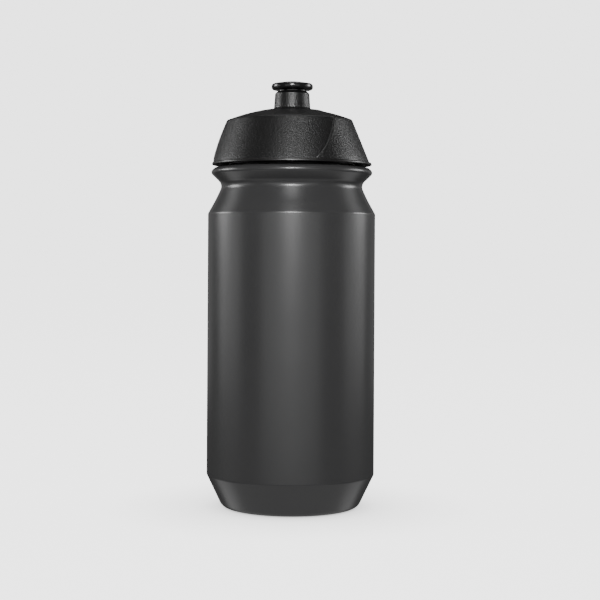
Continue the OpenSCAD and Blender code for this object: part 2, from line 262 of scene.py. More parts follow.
def smooth_outline(corners):
    """Outline through corners (r, z, rounding), with its two ends left sharp."""
    places = [Vector(corner[:2]) for corner in corners]
    outline = [places[0]]
    for i in range(1, len(corners) - 1):
        radius = corners[i][2]
        if radius:
            outline += round_corner(places[i - 1], places[i], places[i + 1], radius)
        else:
            outline.append(places[i])
    return outline + [places[-1]]


def wall_corners(corners, wall):
    """Corners moved inwards by a wall, with roundings that keep the wall even."""
    places = [Vector(corner[:2]) for corner in corners]
    moved = []
    for i in range(1, len(corners) - 1):
        to_here = (places[i] - places[i - 1]).normalized()
        onwards = (places[i + 1] - places[i]).normalized()
        inwards = Vector((-to_here.y, to_here.x)) + Vector((-onwards.y, onwards.x))
        inner = places[i] + wall * inwards / (1 + to_here.dot(onwards))
        radius = corners[i][2] + wall
        if to_here.x * onwards.y - to_here.y * onwards.x > 0:
            radius = max(corners[i][2] - wall, wall * LEAST_ROUND)
        moved.append((inner.x, inner.y, radius))
    return moved


def lathe(outline, segments):
    """Vertices and faces of an outline, which runs up its outside and down its inside, turned about Z."""
    verts, rings, faces = [], [], []
    for point in outline:
        first = len(verts)
        count = 1 if point.x < ON_AXIS else segments
        rings.append([first + i % count for i in range(segments)])
        for i in range(count):
            t = TAU * i / segments
            verts.append((point.x * math.cos(t), point.x * math.sin(t), point.y))
    for j, low in enumerate(rings):
        high = rings[(j + 1) % len(rings)]
        for i in range(segments):
            corners = (low[i], low[(i + 1) % segments], high[(i + 1) % segments], high[i])
            loop = list(dict.fromkeys(corners))
            if len(loop) > 2:
                faces.append(loop)
    return verts, faces


def new_object(name, verts, faces):
    """A mesh object at the origin, linked to the scene."""
    mesh = bpy.data.meshes.new(name)
    mesh.from_pydata(verts, [], faces)
    mesh.validate()
    made = bpy.data.objects.new(name, mesh)
    bpy.context.scene.collection.objects.link(made)
    return made


def turned(name, corners, segments=SMALL_SEGMENTS):
    """A piece turned about Z from the corners of its outline."""
    return new_object(name, *lathe(smooth_outline(corners), segments))


def place(made, body, slot, *nodes):
    """Gives a finished piece the finish for its slot and its body, and hides the nodes that it stands for.
    """
    made.data.materials.clear()
    made.data.materials.append(finish_of(slot))
    made.data.shade_smooth()
    made.data.set_sharp_from_angle(angle=SHARP_ANGLE)
    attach(made, body)
    if nodes:
        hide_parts(*nodes)


# Geometry node trees

# Distance within which points of a piece are merged
WELD = 1e-6
# Screw thread: points in a turn, share of its length that fades at each end, share of the ridge that is
# left at its tips, and depth of its root in the wall
THREAD_STEPS = 96
THREAD_FADE = 0.06
THREAD_TIP = 0.02
THREAD_SINK = 0.00015


class NodeTree:
    """A geometry node tree with named inputs, built node by node."""

    def __init__(self, name, inputs):
        self.tree = bpy.data.node_groups.new(name, "GeometryNodeTree")
        face = self.tree.interface
        face.new_socket("Geometry", in_out="INPUT", socket_type="NodeSocketGeometry")
        self.identifiers = {}
        for label, kind in inputs:
            self.identifiers[label] = face.new_socket(label, in_out="INPUT", socket_type=kind).identifier
        face.new_socket("Geometry", in_out="OUTPUT", socket_type="NodeSocketGeometry")
        self.source = self.tree.nodes.new("NodeGroupInput").outputs
        self.result = self.tree.nodes.new("NodeGroupOutput").inputs["Geometry"]

    def node(self, kind, settings=None, **wires):
        """Adds a node, and sets or links its inputs by name, with _ for a space."""
        made = self.tree.nodes.new(kind)
        for key, value in (settings or {}).items():
            setattr(made, key, value)
        for key, value in wires.items():
            self.wire(made.inputs[key.replace("_", " ")], value)
        return made

    def wire(self, socket, value):
        """Links an input to a socket, or sets it to a plain value."""
        if isinstance(value, bpy.types.NodeSocket):
            self.tree.links.new(value, socket)
        else:
            socket.default_value = value

    def math(self, operation, first, second=0.0):
        """A Math node's result."""
        made = self.node("ShaderNodeMath", {"operation": operation})
        self.wire(made.inputs[0], first)
        self.wire(made.inputs[1], second)
        return made.outputs[0]

    def vector(self, x=0.0, y=0.0, z=0.0):
        """A vector of three numbers or sockets."""
        return self.node("ShaderNodeCombineXYZ", X=x, Y=y, Z=z).outputs[0]

    def around(self, geometry, count):
        """Copies of a geometry, turned evenly round the Z axis."""
        step = self.math("DIVIDE", TAU, count)
        turn = self.math("MULTIPLY", self.node("GeometryNodeInputIndex").outputs[0], step)
        points = self.node("GeometryNodePoints", Count=count).outputs[0]
        copies = self.node(
            "GeometryNodeInstanceOnPoints", Points=points, Instance=geometry, Rotation=self.vector(z=turn)
        )
        return copies.outputs[0]

    def end(self, geometry):
        """Realizes the instances, welds what meets and sets the material."""
        real = self.node("GeometryNodeRealizeInstances", Geometry=geometry).outputs[0]
        weld = self.node("GeometryNodeMergeByDistance", Geometry=real, Distance=WELD).outputs[0]
        painted = self.node("GeometryNodeSetMaterial", Geometry=weld, Material=self.source["Material"])
        self.tree.links.new(painted.outputs[0], self.result)

    def apply(self, made, values):
        """Runs the tree on an object and leaves a plain mesh."""
        modifier = made.modifiers.new(self.tree.name, "NODES")
        modifier.node_group = self.tree
        for label, value in values.items():
            modifier[self.identifiers[label]] = value
        ready = made.evaluated_get(bpy.context.evaluated_depsgraph_get())
        plain = bpy.data.meshes.new_from_object(ready)
        made.modifiers.remove(modifier)
        made.data = plain
        plain.name = made.name


def ring_tree():
    """Copies of one sector round the Z axis, welded into a whole."""
    tree = NodeTree("Ring of sectors", [("Count", "NodeSocketInt"), ("Material", "NodeSocketMaterial")])
    tree.end(tree.around(tree.source["Geometry"], tree.source["Count"]))
    return tree


def spoke_tree():
    """Spokes round the Z axis that join a pin to a ring, as one solid."""
    inputs = [("Count", "NodeSocketInt")]
    inputs += [(size, "NodeSocketFloat") for size in ("Reach", "Width", "Height", "Middle")]
    inputs += [("Ring", "NodeSocketObject"), ("Material", "NodeSocketMaterial")]
    tree = NodeTree("Spokes", inputs)
    source = tree.source
    size = tree.vector(source["Reach"], source["Width"], source["Height"])
    bar = tree.node("GeometryNodeMeshCube", Size=size).outputs[0]
    middle = tree.vector(x=tree.math("MULTIPLY", source["Reach"], 0.5), z=source["Middle"])
    spoke = tree.node("GeometryNodeTransform", Geometry=bar, Translation=middle).outputs[0]
    copies = tree.around(spoke, source["Count"])
    spokes = tree.node("GeometryNodeRealizeInstances", Geometry=copies).outputs[0]
    ring = tree.node("GeometryNodeObjectInfo", Object=source["Ring"]).outputs["Geometry"]
    union = tree.node("GeometryNodeMeshBoolean", {"operation": "UNION", "solver": "EXACT"})
    for part in (source["Geometry"], spokes, ring):
        tree.wire(union.inputs["Mesh 2"], part)
    tree.end(union.outputs[0])
    return tree


def thread_tree():
    """A right-hand ridge swept along a helix, fading out at both ends. Side 1 points out, and -1 in."""
    sizes = ["Radius", "Pitch", "Turns", "Height", "Base", "Crest", "Start", "Fade", "Sink", "Side"]
    inputs = [(size, "NodeSocketFloat") for size in sizes]
    tree = NodeTree("Screw thread", inputs + [("Material", "NodeSocketMaterial")])
    source = tree.source
    helix = tree.node(
        "GeometryNodeCurveSpiral",
        Resolution=THREAD_STEPS,
        Rotations=source["Turns"],
        Start_Radius=source["Radius"],
        End_Radius=source["Radius"],
        Height=tree.math("MULTIPLY", source["Pitch"], source["Turns"]),
        Reverse=True,
    ).outputs[0]
    raised = tree.node(
        "GeometryNodeTransform", Geometry=helix, Translation=tree.vector(z=source["Start"])
    ).outputs[0]
    along = tree.node("GeometryNodeSplineParameter").outputs["Factor"]
    rest = tree.math("SUBTRACT", 1.0, along)
    near_end = tree.math("MINIMUM", along, rest)
    fade = tree.math("MINIMUM", tree.math("DIVIDE", near_end, source["Fade"]), 1.0)
    taper = tree.math("MAXIMUM", fade, THREAD_TIP)
    upright = tree.node("GeometryNodeSetCurveNormal", {"mode": "Z_UP"}, Curve=raised).outputs[0]
    section = tree.node(
        "GeometryNodeCurvePrimitiveQuadrilateral",
        {"mode": "TRAPEZOID"},
        Height=source["Height"],
        Bottom_Width=source["Base"],
        Top_Width=source["Crest"],
        Offset=0.0,
    ).outputs[0]
    half = tree.math("SUBTRACT", tree.math("MULTIPLY", source["Height"], 0.5), source["Sink"])
    seated = tree.node(
        "GeometryNodeTransform",
        Geometry=section,
        Translation=tree.vector(x=tree.math("MULTIPLY", half, source["Side"])),
        Rotation=tree.vector(z=tree.math("MULTIPLY", source["Side"], -math.pi / 2)),
    ).outputs[0]
    swept = tree.node(
        "GeometryNodeCurveToMesh", Curve=upright, Profile_Curve=seated, Scale=taper, Fill_Caps=True
    )
    tree.end(swept.outputs[0])
    return tree


# Procedural finishes

# Range that most of a noise lies in
NOISE_LOW, NOISE_HIGH = 0.3, 0.7
# Height over the plain lid's rim at which the grain starts, and height over which it grows to full depth
GRAIN_START = 0.0003
GRAIN_REACH = 0.0006


class Finish:
    """A plastic or rubber whose colour, gloss and bump come from noise on the piece itself."""

    def __init__(self, name):
        self.material = bpy.data.materials.new(name)
        self.material.use_nodes = True
        self.nodes = self.material.node_tree.nodes
        self.links = self.material.node_tree.links
        self.nodes.clear()
        self.shader = self.nodes.new("ShaderNodeBsdfPrincipled")
        output = self.nodes.new("ShaderNodeOutputMaterial")
        self.links.new(self.shader.outputs[0], output.inputs["Surface"])
        self.place = self.nodes.new("ShaderNodeTexCoord").outputs["Object"]
        self.bumps = None

    def noise(self, scale, detail=2.0, roughness=0.5):
        """A noise in the piece's own coordinates."""
        made = self.nodes.new("ShaderNodeTexNoise")
        made.inputs["Scale"].default_value = scale
        made.inputs["Detail"].default_value = detail
        made.inputs["Roughness"].default_value = roughness
        self.links.new(self.place, made.inputs["Vector"])
        return made.outputs["Fac"]

    def spread(self, value, at_low, at_high, start=NOISE_LOW, stop=NOISE_HIGH):
        """Maps a noise, or another value, to a range."""
        made = self.nodes.new("ShaderNodeMapRange")
        limits = {"From Min": start, "From Max": stop, "To Min": at_low, "To Max": at_high}
        for key, number in limits.items():
            made.inputs[key].default_value = number
        self.links.new(value, made.inputs["Value"])
        return made.outputs["Result"]

    def above(self, start, reach, level):
        """Nothing below a height of the piece, rising over a short reach to a level."""
        split = self.nodes.new("ShaderNodeSeparateXYZ")
        self.links.new(self.place, split.inputs["Vector"])
        return self.spread(split.outputs["Z"], 0.0, level, start, start + reach)

    def tint(self, value, base, darker, lighter):
        """Base colour that varies between a darker and a lighter tone."""
        ramp = self.nodes.new("ShaderNodeValToRGB")
        tones = ((NOISE_LOW, darker), (NOISE_HIGH, lighter))
        for stop, (position, gain) in zip(ramp.color_ramp.elements, tones):
            stop.position = position
            stop.color = [gain * channel for channel in base] + [1.0]
        self.links.new(value, ramp.inputs["Fac"])
        self.links.new(ramp.outputs["Color"], self.shader.inputs["Base Color"])

    def rough(self, value, at_low, at_high):
        """Roughness where a noise is low, and where it is high."""
        self.links.new(self.spread(value, at_low, at_high), self.shader.inputs["Roughness"])

    def gloss(self, level):
        """Strength of the shine."""
        self.shader.inputs["Specular IOR Level"].default_value = level

    def bump(self, height, distance, strength):
        """Adds one layer of relief over the layers before it."""
        made = self.nodes.new("ShaderNodeBump")
        made.inputs["Distance"].default_value = distance
        if isinstance(strength, bpy.types.NodeSocket):
            self.links.new(strength, made.inputs["Strength"])
        else:
            made.inputs["Strength"].default_value = strength
        self.links.new(height, made.inputs["Height"])
        if self.bumps:
            self.links.new(self.bumps, made.inputs["Normal"])
        self.bumps = made.outputs["Normal"]

    def done(self):
        """Links the relief and gives the finished material."""
        if self.bumps:
            self.links.new(self.bumps, self.shader.inputs["Normal"])
        return self.material


def bottle_finish(name, base):
    """Satin polyethylene: faint clouds of tone and gloss, and a fine matt skin."""
    finish = Finish(name)
    finish.tint(finish.noise(45.0, detail=3.0), base, darker=0.97, lighter=1.03)
    finish.rough(finish.noise(60.0, detail=2.0), at_low=0.28, at_high=0.30)
    finish.bump(finish.noise(1800.0, detail=1.0), distance=0.00001, strength=0.10)
    return finish.done()


def lid_finish(name, base):
    """Spark-grained polypropylene: fine raised grain that glints, with a smooth rim."""
    finish = Finish(name)
    grain = finish.noise(1700.0, detail=2.0, roughness=0.6)
    finish.tint(grain, base, darker=0.75, lighter=1.35)
    finish.rough(grain, at_low=0.42, at_high=0.30)
    finish.gloss(0.42)
    finish.bump(finish.noise(400.0, detail=1.0), distance=0.0001, strength=0.10)
    depth = finish.above(LID_LOW.z + GRAIN_START, GRAIN_REACH, level=0.6)
    finish.bump(grain, distance=0.0003, strength=depth)
    return finish.done()


def valve_finish(name, base):
    """Moulded polypropylene with a faint grain."""
    finish = Finish(name)
    grain = finish.noise(1900.0, detail=2.0, roughness=0.6)
    finish.tint(grain, base, darker=0.85, lighter=1.2)
    finish.rough(grain, at_low=0.36, at_high=0.29)
    finish.bump(grain, distance=0.0002, strength=0.3)
    return finish.done()


def tip_finish(name, base):
    """Glossy soft elastomer with faint smears."""
    finish = Finish(name)
    finish.tint(finish.noise(260.0), base, darker=0.85, lighter=1.15)
    finish.rough(finish.noise(420.0, detail=4.0), at_low=0.12, at_high=0.22)
    finish.bump(finish.noise(350.0, detail=1.0), distance=0.00005, strength=0.10)
    return finish.done()


def seal_finish(name, base):
    """Silicone rubber with a matt bloom."""
    finish = Finish(name)
    finish.tint(finish.noise(500.0, detail=3.0), base, darker=0.9, lighter=1.08)
    finish.rough(finish.noise(1200.0, detail=3.0), at_low=0.48, at_high=0.62)
    finish.bump(finish.noise(3000.0), distance=0.00003, strength=0.2)
    return finish.done()


def finish_of(slot):
    """The finish for a slot, made when it is first asked for."""
    name = slot + "_look"
    made = bpy.data.materials.get(name)
    if made:
        return made
    colours = bpy.context.scene.bottle_colours
    makers = {
        "bottle_plastic": (bottle_finish, colours.bottle),
        "lid_plastic": (lid_finish, colours.lid),
        "valve_plastic": (valve_finish, colours.valve),
        "tip_plastic": (tip_finish, colours.tip),
        "seal_rubber": (seal_finish, colours.seal),
    }
    maker, base = makers[slot]
    return maker(name, base)


# Pieces


def bottle_corners(sizes):
    """Corners of the moulded wall, from the middle of the base up to the neck and back inside."""
    foot = sizes.foot_radius
    ring_in = foot - sizes.foot_ring
    bow_z = (sizes.shoulder_z + sizes.groove_z) / 2
    corners = [
        (0.0, sizes.punt_height, 0.0),
        (ring_in - sizes.punt_height, sizes.punt_height, sizes.punt_round),
        (ring_in, 0.0, sizes.punt_round),
        (foot, 0.0, sizes.foot_round),
        (sizes.barrel_radius, sizes.barrel_z, sizes.bevel_round),
        (sizes.barrel_radius, sizes.shoulder_z, sizes.shoulder_round),
        ((sizes.barrel_radius + sizes.groove_radius) / 2 - sizes.shoulder_bow, bow_z, sizes.shoulder_curve),
        (sizes.groove_radius, sizes.groove_z, sizes.groove_round),
        (sizes.collar_radius, sizes.collar_z, sizes.collar_round),
        (sizes.collar_radius - sizes.collar_slope, sizes.neck_z, sizes.collar_edge),
        (sizes.neck_radius, sizes.neck_z, sizes.neck_round),
    ]
    neck_top = BOTTLE_HIGH.z
    rim = [
        (sizes.neck_radius, neck_top, EDGE_SOFT),
        (sizes.neck_bore, neck_top, EDGE_SOFT),
        (sizes.neck_bore, sizes.neck_z - sizes.wall, sizes.neck_round + sizes.wall),
    ]
    inside = wall_corners(corners, sizes.wall)[:-1]
    inside.reverse()
    bottom = [(0.0, sizes.punt_height + sizes.wall, 0.0)]
    return corners + rim + inside + bottom


def make_bottle():
    """The blow-moulded bottle, without its thread."""
    made = turned("bottle_wall", bottle_corners(bpy.context.scene.bottle_sizes), BOTTLE_SEGMENTS)
    place(made, "bottle", "bottle_plastic", "bottle_body")


def make_thread(name, body, slot, radius, side, start_z):
    """One ridge of the screw thread."""
    sizes = bpy.context.scene.thread_sizes
    made = new_object(name, [], [])
    values = {
        "Radius": radius,
        "Pitch": sizes.pitch,
        "Turns": sizes.turns,
        "Height": sizes.height,
        "Base": sizes.base,
        "Crest": sizes.crest,
        "Start": start_z,
        "Fade": THREAD_FADE,
        "Sink": THREAD_SINK,
        "Side": side,
        "Material": finish_of(slot),
    }
    thread_tree().apply(made, values)
    place(made, body, slot)


# Rows of points up a grip's flank and over its part of the dome, and columns across it
FLANK_ROWS = 20
DOME_ROWS = 12
GRIP_COLUMNS = 48
# Passes that settle where the flank meets the dome, and distance from an edge at which the directions of
# its two surfaces are taken
EDGE_PASSES = 12
EDGE_REACH = 0.003
# Steps of the hollow under the dome, and rows at the rim that follow the foot of the swirl line
HOLLOW_STEPS = 6
RIM_ROWS = 9
# Crest of the step at a swirl line: distance from the line, and share of the step's height
STEP_CREST = ((0.0, 0.0), (0.0001, 0.40), (0.00025, 0.68), (0.00045, 0.87), (0.00075, 0.97), (0.0011, 1.0))


class LidForm:
    """Heights and surfaces of the lid, worked out from its sizes."""

    def __init__(self, sizes):
        self.sizes = sizes
        self.rim_z = LID_LOW.z - sizes.rim_drop
        self.flank_z = self.rim_z + sizes.rim_height
        self.flank_top_z = self.flank_z + sizes.flank_height
        across = sizes.flank_top + sizes.dome_shift
        self.dome_z = self.flank_top_z - math.sqrt(sizes.dome_round**2 - across**2)
        self.flank_angle = math.atan((sizes.flank_low - sizes.flank_top) / sizes.flank_height)
        lean = sizes.grip_lean
        self.taper = math.tan(self.flank_angle - lean)
        foot = sizes.flank_low + sizes.grip_shift
        self.grip_radius = foot * (math.cos(lean) - self.taper * math.sin(lean))
        self.step = TAU / sizes.grips

    def flank(self, bearing, z):
        """Radius of a grip's cone at an angle from its middle and a height, kept inside the rim."""
        sizes = self.sizes
        up = z - self.flank_z
        cos_lean, sin_lean = math.cos(sizes.grip_lean), math.sin(sizes.grip_lean)
        across, beside = cos_lean * math.cos(bearing), math.sin(bearing)
        start = cos_lean * sizes.grip_shift + sin_lean * up
        slope = self.taper * sin_lean * math.cos(bearing)
        reach = self.grip_radius + self.taper * (sin_lean * sizes.grip_shift - cos_lean * up)
        square = across**2 + beside**2 - slope**2
        half = across * start - slope * reach
        # Where the line at this bearing leaves the leaning cone, eased to stay inside the rim's ledge
        cone = (math.sqrt(half**2 - square * (start**2 - reach**2)) - half) / square
        limit = sizes.rim_radius - sizes.rim_step
        return (cone + limit - math.hypot(cone - limit, sizes.rim_step)) / 2

    def dome(self, bearing, radius):
        """Height of a grip's part of the dome."""
        shift = self.sizes.dome_shift
        flat = radius**2 + shift**2 + 2 * radius * shift * math.cos(bearing)
        return self.dome_z + math.sqrt(self.sizes.dome_round**2 - flat)

    def swirl(self, point):
        """Turn of the swirl line at a point of the outside, from its own direction."""
        sizes = self.sizes
        middle_z = self.flank_z + sizes.flank_height / 2 + sizes.swirl_round * math.sin(sizes.swirl_lean)
        reach = math.sqrt(sizes.swirl_round**2 - (point.y - middle_z) ** 2)
        return math.asin((reach - sizes.swirl_round * math.cos(sizes.swirl_lean)) / point.x)

    def grip_outline(self, bearing, dome_end):
        """Outside from the foot of a grip over its rounded edge to the spout."""
        z = self.flank_top_z
        for _ in range(EDGE_PASSES):
            radius = self.flank(bearing, z)
            z = self.dome(bearing, radius)
        corner = Vector((radius, z))
        below_z = z - EDGE_REACH
        below = Vector((self.flank(bearing, below_z), below_z))
        inward_r = radius - EDGE_REACH
        inward = Vector((inward_r, self.dome(bearing, inward_r)))
        arc = round_corner(below, corner, inward, self.sizes.edge_round)
        outline = []
        for t in range(FLANK_ROWS):
            z = self.flank_z + (arc[0].y - self.flank_z) * t / FLANK_ROWS
            outline.append(Vector((self.flank(bearing, z), z)))
        outline += arc
        for t in range(1, DOME_ROWS + 1):
            radius = arc[-1].x + (dome_end - arc[-1].x) * t / DOME_ROWS
            outline.append(Vector((radius, self.dome(bearing, radius))))
        return outline


def lid_inside(form):
    """Outline from the spout's foot over its top, down the bore and through the hollows to the rim."""
    sizes = form.sizes
    foot_z = form.dome(math.pi / 2, sizes.spout_base)
    top_z = LID_HIGH.z
    chamfer = sizes.spout_chamfer
    stem_r = STEM_HIGH.x + PRESS_FIT
    boss_r = stem_r + sizes.wall
    ledge_z = STEM_LOW.z + bpy.context.scene.valve_sizes.stem_height
    boss_z = STEM_LOW.z - sizes.wall / 2
    stop_z = top_z - sizes.stop_height
    hollow = sizes.dome_round - sizes.wall - sizes.dome_shift * sizes.flank_top / sizes.dome_round
    keeper_in, keeper_out = sizes.keeper_inner, sizes.keeper_outer
    keeper_z = GASKET_LOW.z - sizes.keeper_drop
    ceiling_z = GASKET_HIGH.z
    flank_wall = sizes.wall / math.cos(form.flank_angle)
    slope = math.tan(form.flank_angle)
    void_r = sizes.flank_low + sizes.rim_height * slope - flank_wall
    void_top = form.flank_z + (sizes.flank_low - sizes.skirt_radius - flank_wall) / slope
    under_dome = []
    for step in range(HOLLOW_STEPS + 1):
        radius = boss_r + (keeper_in - boss_r) * step / HOLLOW_STEPS
        rounding = EDGE_SOFT if step in (0, HOLLOW_STEPS) else 0.0
        under_dome.append((radius, form.dome_z + math.sqrt(hollow**2 - radius**2), rounding))
    dome_r = sizes.spout_base + EDGE_REACH
    corners = [
        (dome_r, form.dome(math.pi / 2, dome_r), 0.0),
        (sizes.spout_base, foot_z, sizes.spout_round),
        (sizes.spout_top, top_z - chamfer, EDGE_SMALL),
        (sizes.spout_top - chamfer, top_z, EDGE_CRISP),
        (sizes.stop_radius, top_z, EDGE_CRISP),
        (sizes.stop_radius, stop_z, EDGE_SHARP),
        (sizes.spout_bore, stop_z, 0.0),
        (sizes.spout_bore, ledge_z, EDGE_CRISP),
        (stem_r, ledge_z, 0.0),
        (stem_r, boss_z, EDGE_CRISP),
        (boss_r, boss_z, EDGE_SOFT),
        *under_dome,
        (keeper_in, keeper_z, EDGE_SMALL),
        (keeper_out, keeper_z, EDGE_SMALL),
        (keeper_out, ceiling_z, EDGE_CRISP),
        (sizes.thread_root, ceiling_z, EDGE_SOFT),
        (sizes.thread_root, form.rim_z, EDGE_SOFT),
        (sizes.skirt_radius, form.rim_z, EDGE_SOFT),
        (sizes.skirt_radius, void_top, sizes.void_round),
        (void_r, form.rim_z, EDGE_SMALL),
        (sizes.rim_radius, form.rim_z, EDGE_SMALL),
        (sizes.rim_radius - sizes.rim_lean, form.flank_z, sizes.rim_round),
        (sizes.flank_low, form.flank_z, 0.0),
    ]
    return smooth_outline(corners)[1:-1]


def lid_sector(sizes):
    """Vertices and faces of one grip's share of the lid, from one swirl line to the next."""
    form = LidForm(sizes)
    inside = lid_inside(form)
    dome_end = inside[0].x
    middle = form.step / 2 + sizes.grip_turn
    columns = [(distance / sizes.flank_low, share) for distance, share in STEP_CREST]
    columns += [(form.step * i / GRIP_COLUMNS, 1.0) for i in range(1, GRIP_COLUMNS + 1)]
    nominal = form.grip_outline(-middle, dome_end)[:-1]
    turns = [form.swirl(point) for point in nominal]
    foot_turn, dome_turn = turns[0], turns[-1]
    for row in range(len(inside)):
        share = min(1.0, row / (len(inside) - RIM_ROWS))
        turns.append(dome_turn + (foot_turn - dome_turn) * share)
    verts, faces = [], []
    for around, share in columns:
        outline = []
        for row in range(len(nominal)):
            bearing = around + turns[row] - middle
            point = form.grip_outline(bearing, dome_end)[row]
            if share < 1.0:
                before = form.grip_outline(bearing + form.step, dome_end)[row]
                point = before.lerp(point, share)
            outline.append(point)
        for point, turn in zip(outline + inside, turns):
            t = sizes.swirl_direction + turn + around
            verts.append((point.x * math.cos(t), point.x * math.sin(t), point.y))
    rows = len(turns)
    for i in range(len(columns) - 1):
        for j in range(rows):
            up = (j + 1) % rows
            faces.append((i * rows + j, (i + 1) * rows + j, (i + 1) * rows + up, i * rows + up))
    return verts, faces


def make_lid():
    """The grained lid with its grips and spout, without its thread."""
    sizes = bpy.context.scene.lid_sizes
    made = new_object("lid_shell", *lid_sector(sizes))
    ring_tree().apply(made, {"Count": sizes.grips, "Material": finish_of("lid_plastic")})
    place(made, "lid", "lid_plastic", "screw_lid")


def make_gasket():
    """The flat ring that the lid presses on the neck."""
    sizes = bpy.context.scene.valve_sizes
    foot_z, top_z = GASKET_LOW.z, GASKET_HIGH.z
    outer, inner = GASKET_HIGH.x, sizes.gasket_bore
    middle = (outer + inner) / 2
    corners = [
        ((outer + middle) / 2, foot_z, 0.0),
        (outer, foot_z, sizes.gasket_round),
        (outer, top_z, sizes.gasket_round),
        (inner, top_z, sizes.gasket_round),
        (inner, foot_z, sizes.gasket_round),
        ((inner + middle) / 2, foot_z, 0.0),
    ]
    made = turned("gasket_ring", corners, BOTTLE_SEGMENTS)
    place(made, "gasket", "seal_rubber", "lid_gasket")


def make_stem():
    """The sealing pin on its spokes and ring, pressed into the lid."""
    sizes = bpy.context.scene.valve_sizes
    pin, outer = sizes.pin_radius, STEM_HIGH.x
    foot_z, top_z = STEM_LOW.z, STEM_HIGH.z
    ledge_z = foot_z + sizes.stem_height
    hub = pin + sizes.spoke_width / 2
    inner = outer - sizes.stem_wall
    edge = EDGE_CRISP
    pin_corners = [
        (0.0, foot_z, 0.0),
        (hub, foot_z, edge),
        (hub, ledge_z, edge),
        (pin, ledge_z + hub - pin, sizes.pin_fillet),
        (pin, top_z, sizes.pin_round),
        (0.0, top_z, 0.0),
    ]
    ring_corners = [
        ((inner + outer) / 2, foot_z, 0.0),
        (outer, foot_z, edge),
        (outer, ledge_z, edge),
        (inner, ledge_z, edge),
        (inner, foot_z, edge),
        ((inner * 2 + outer) / 3, foot_z, 0.0),
    ]
    made = turned("valve_stem", pin_corners)
    ring = turned("stem_ring", ring_corners)
    values = {
        "Count": sizes.spokes,
        "Reach": (inner + outer) / 2,
        "Width": sizes.spoke_width,
        "Height": sizes.stem_height - 2 * edge,
        "Middle": (foot_z + ledge_z) / 2,
        "Ring": ring,
        "Material": finish_of("valve_plastic"),
    }
    spoke_tree().apply(made, values)
    bpy.data.objects.remove(ring)
    place(made, "lid", "valve_plastic", "sealing_stem")


def make_slider():
    """The sliding shaft with the grooved flange that carries its seal."""
    sizes = bpy.context.scene.valve_sizes
    foot_z, top_z = SLIDER_LOW.z, SLIDER_HIGH.z
    flange, shaft, bore = SLIDER_HIGH.x, sizes.shaft_radius, sizes.shaft_bore
    seal_z = (SEAL_LOW.z + SEAL_HIGH.z) / 2
    section = SEAL_HIGH.z - SEAL_LOW.z
    groove = SEAL_HIGH.x - section - PRESS_FIT
    groove_half = section / 2 + sizes.groove_play
    flange_top = 2 * seal_z - foot_z
    edge = sizes.shaft_edge
    corners = [
        ((bore + flange) / 2, foot_z, 0.0),
        (flange, foot_z, edge),
        (flange, seal_z - groove_half, edge),
        (groove, seal_z - groove_half, 0.0),
        (groove, seal_z + groove_half, 0.0),
        (flange, seal_z + groove_half, edge),
        (flange, flange_top, edge),
        (shaft, flange_top, edge),
        (shaft, top_z, edge),
        (bore, top_z, edge),
        (bore, foot_z, edge),
        ((bore * 2 + flange) / 3, foot_z, 0.0),
    ]
    place(turned("valve_shaft", corners), "valve", "valve_plastic", "valve_slider")


# Points round the section of the valve's sealing ring
SEAL_STEPS = 20


def make_seal():
    """The round sealing ring in the shaft's groove."""
    section = (SEAL_HIGH.z - SEAL_LOW.z) / 2
    ring = SEAL_HIGH.x - section
    middle_z = (SEAL_LOW.z + SEAL_HIGH.z) / 2
    outline = []
    for step in range(SEAL_STEPS):
        t = TAU * step / SEAL_STEPS
        outline.append(Vector((ring + section * math.cos(t), middle_z + section * math.sin(t))))
    made = new_object("shaft_seal", *lathe(outline, SMALL_SEGMENTS))
    place(made, "valve", "seal_rubber", "slider_seal")


def make_tip():
    """The glossy mouthpiece with its lip, pressed on the shaft."""
    sizes = bpy.context.scene.valve_sizes
    bore = sizes.shaft_radius + PRESS_FIT
    lip = TIP_HIGH.x
    lip_z = TIP_LOW.z + sizes.collar_height
    lip_top = lip_z + sizes.lip_height
    crown = sizes.crown_height
    bore_z = SLIDER_HIGH.z + PRESS_FIT
    outlet = sizes.outlet_radius
    corners = [
        ((bore + sizes.collar_radius) / 2, TIP_LOW.z, 0.0),
        (sizes.collar_radius, TIP_LOW.z, EDGE_CRISP),
        (sizes.collar_radius, lip_z, EDGE_SMALL),
        (lip, lip_z, sizes.lip_round),
        (lip, lip_top, sizes.lip_round),
        (outlet + crown, lip_top + crown, crown),
        (outlet, lip_top, EDGE_CRISP),
        (outlet, bore_z, 0.0),
        (bore, bore_z, 0.0),
        (bore, TIP_LOW.z, EDGE_SHARP),
        ((bore * 2 + sizes.collar_radius) / 3, TIP_LOW.z, 0.0),
    ]
    place(turned("bite_lip", corners), "valve", "tip_plastic", "bite_tip")


# Studio

# Soft boxes round the bottle: name, azimuth from the front towards +X, elevation, width, height, power.
# Angles are in degrees, sizes in metres and power in watts.
SOFT_BOXES = (
    ("key_box", 0, 20, 0.30, 0.24, 14.5),
    ("top_box", 0, 44, 0.30, 0.45, 2.6),
    ("over_box", 180, 84, 0.80, 0.80, 4.0),
    ("front_fill", 0, 2, 2.00, 0.60, 3.6),
    ("left_box", -92, 4, 0.90, 0.45, 1.6),
    ("right_box", 97, 4, 0.90, 0.45, 1.4),
    ("left_edge", -106, 15, 0.46, 0.34, 5.4),
    ("right_edge", 107, 15, 0.46, 0.34, 4.8),
    ("left_top", -114, 34, 0.36, 0.30, 0.5),
    ("right_top", 114, 34, 0.36, 0.30, 0.4),
    ("left_back", -150, 4, 0.80, 0.50, 0.25),
    ("right_back", 150, 4, 0.80, 0.50, 0.2),
    ("left_low", -120, -36, 0.50, 0.45, 0.5),
    ("right_low", 120, -36, 0.50, 0.45, 0.4),
    ("low_fill", 0, -90, 3.00, 3.00, 13.0),
)
